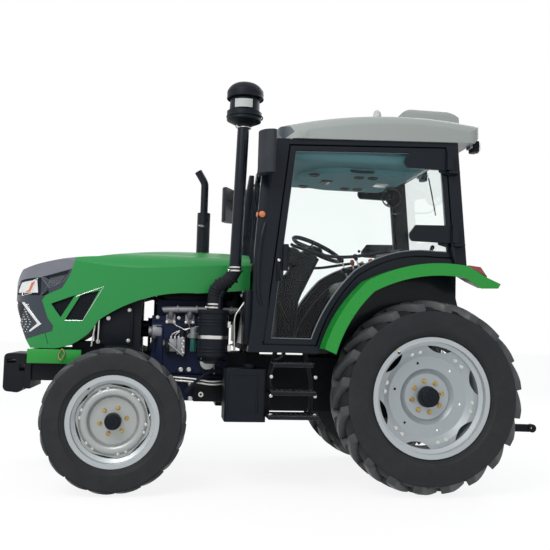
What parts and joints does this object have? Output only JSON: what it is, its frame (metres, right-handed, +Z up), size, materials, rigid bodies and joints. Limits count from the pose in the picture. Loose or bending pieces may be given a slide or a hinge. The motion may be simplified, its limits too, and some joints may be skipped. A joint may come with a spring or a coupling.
{
  "type": "farm tractor with cab",
  "caption": "Four-wheel-drive farm tractor with a closed cab, tilting hood, opening doors, steered front wheels, front weights and a rear three-point linkage.",
  "frame": {"origin": "on the ground under the middle of the whole machine", "axes": "+X forward, +Y to the driver's left, +Z up"},
  "size_m": [3.6699, 1.5588, 2.6692],
  "materials": {
    "green_paint": "gloss",
    "dark_mask": "satin",
    "black_mesh": "matte",
    "clear_lens": "clear",
    "cab_glass": "clear, light teal",
    "tyre_rubber": "matte",
    "silver_rim": "satin",
    "black_paint": "semi gloss",
    "black_plastic": "matte",
    "roof_white": "satin",
    "floor_mat": "matte",
    "seat_cover": "matte",
    "lamp_lens": "clear coloured",
    "engine_blue": "painted",
    "cast_black": "painted",
    "lining": "matte",
    "bright_steel": "satin"
  },
  "bodies": {
    "tractor": {"air_cleaner": "black_paint", "battery": "black_plastic", "cab_cross_members": "black_paint", "cab_floor": "floor_mat", "cab_roof": "roof_white", "cab_side_frame_left": "black_paint", "cab_side_frame_right": "black_paint", "cab_windows": "cab_glass", "dashboard": "black_plastic", "drawbar": "cast_black", "engine": "engine_blue", "exhaust_stack": "black_paint", "front_axle": "cast_black", "front_frame": "black_paint", "front_weights": "black_paint", "gearbox_housing": "cast_black", "headliner": "lining", "hinge_brackets": "black_paint", "inner_guards": "black_paint", "intake_pipe": "black_paint", "lamps": "lamp_lens", "lower_front_panel": "green_paint", "mirrors": "black_plastic", "mudguard_left": "green_paint", "mudguard_right": "green_paint", "pre_cleaner": "black_plastic", "radiator": "black_paint", "rear_axle_housing": "cast_black", "seat": "seat_cover", "side_boxes": "black_plastic", "side_consoles": "black_plastic", "steps": "black_paint", "top_link_bracket": "cast_black"},
    "hood": {"hood_shell": "green_paint", "nose_mask": "dark_mask", "nose_grilles": "black_mesh", "headlamps": "clear_lens"},
    "door_left": {"door_frame_left": "black_paint", "door_glass_left": "cab_glass"},
    "door_right": {"door_frame_right": "black_paint", "door_glass_right": "cab_glass"},
    "front_wheel_left": {"front_rim_left": "silver_rim", "front_tyre_left": "tyre_rubber"},
    "front_wheel_right": {"front_rim_right": "silver_rim", "front_tyre_right": "tyre_rubber"},
    "rear_wheel_left": {"rear_rim_left": "silver_rim", "rear_tyre_left": "tyre_rubber"},
    "rear_wheel_right": {"rear_rim_right": "silver_rim", "rear_tyre_right": "tyre_rubber"},
    "knuckle_left": {"knuckle_left": "cast_black"},
    "knuckle_right": {"knuckle_right": "cast_black"},
    "tie_rod": {"tie_rod": "cast_black"},
    "steering_wheel": {"steering_wheel": "black_plastic"},
    "lift_arms": {"lift_arms": "cast_black"},
    "lift_rods": {"lift_rods": "bright_steel"},
    "lower_links": {"lower_links": "cast_black"},
    "pto_shaft": {"pto_shaft": "bright_steel"}
  },
  "joints": [
    {"name": "rear_wheel_left_spin", "type": "hinge", "parent": "tractor", "child": "rear_wheel_left", "pos_m": [-0.925, 0.62, 0.63], "axis": [0, 1, 0], "continuous": true},
    {"name": "steer_left", "type": "hinge", "parent": "tractor", "child": "knuckle_left", "pos_m": [1.075, 0.478, 0.45], "axis": [0, 0, 1], "range_deg": [-40, 40]},
    {"name": "front_wheel_left_spin", "type": "hinge", "parent": "knuckle_left", "child": "front_wheel_left", "pos_m": [1.075, 0.6, 0.45], "axis": [0, 1, 0], "continuous": true},
    {"name": "door_left_swing", "type": "hinge", "parent": "tractor", "child": "door_left", "pos_m": [-1.093, 0.64, 1.95], "axis": [0.0857, 0, 0.9963], "range_deg": [0, 75]},
    {"name": "rear_wheel_right_spin", "type": "hinge", "parent": "tractor", "child": "rear_wheel_right", "pos_m": [-0.925, -0.62, 0.63], "axis": [0, 1, 0], "continuous": true},
    {"name": "steer_right", "type": "hinge", "parent": "tractor", "child": "knuckle_right", "pos_m": [1.075, -0.478, 0.45], "axis": [0, 0, 1], "range_deg": [-40, 40]},
    {"name": "front_wheel_right_spin", "type": "hinge", "parent": "knuckle_right", "child": "front_wheel_right", "pos_m": [1.075, -0.6, 0.45], "axis": [0, 1, 0], "continuous": true},
    {"name": "door_right_swing", "type": "hinge", "parent": "tractor", "child": "door_right", "pos_m": [-1.093, -0.64, 1.95], "axis": [-0.0857, 0, -0.9963], "range_deg": [0, 75]},
    {"name": "tie_rod_swing", "type": "hinge", "parent": "knuckle_left", "child": "tie_rod", "pos_m": [0.91, 0.478, 0.355], "axis": [0, 0, 1], "range_deg": [-40, 40]},
    {"name": "steering_wheel_turn", "type": "hinge", "parent": "tractor", "child": "steering_wheel", "pos_m": [-0.3, 0, 1.632], "axis": [-0.4226, 0, 0.9063], "range_deg": [-480, 480]},
    {"name": "hood_tilt", "type": "hinge", "parent": "tractor", "child": "hood", "pos_m": [0.3, 0, 1.492], "axis": [0, -1, 0], "range_deg": [0, 45]},
    {"name": "rockshaft_lift", "type": "hinge", "parent": "tractor", "child": "lift_arms", "pos_m": [-1.03, 0, 0.985], "axis": [0, 1, 0], "range_deg": [-12, 30]},
    {"name": "lower_links_lift", "type": "hinge", "parent": "tractor", "child": "lower_links", "pos_m": [-1.03, 0, 0.392], "axis": [0, 1, 0], "range_deg": [-12, 30]},
    {"name": "lift_rods_swing", "type": "hinge", "parent": "lift_arms", "child": "lift_rods", "pos_m": [-1.36, 0, 0.985], "axis": [0, 1, 0], "range_deg": [-30, 12]},
    {"name": "pto_turn", "type": "hinge", "parent": "tractor", "child": "pto_shaft", "pos_m": [-1.277, 0, 0.56], "axis": [1, 0, 0], "continuous": true}
  ],
  "couplings": [
    {"joint": "steer_right", "follows": "steer_left", "ratio": 1},
    {"joint": "tie_rod_swing", "follows": "steer_left", "ratio": -1},
    {"joint": "steering_wheel_turn", "follows": "steer_left", "ratio": 12},
    {"joint": "lower_links_lift", "follows": "rockshaft_lift", "ratio": 1},
    {"joint": "lift_rods_swing", "follows": "rockshaft_lift", "ratio": -1}
  ]
}
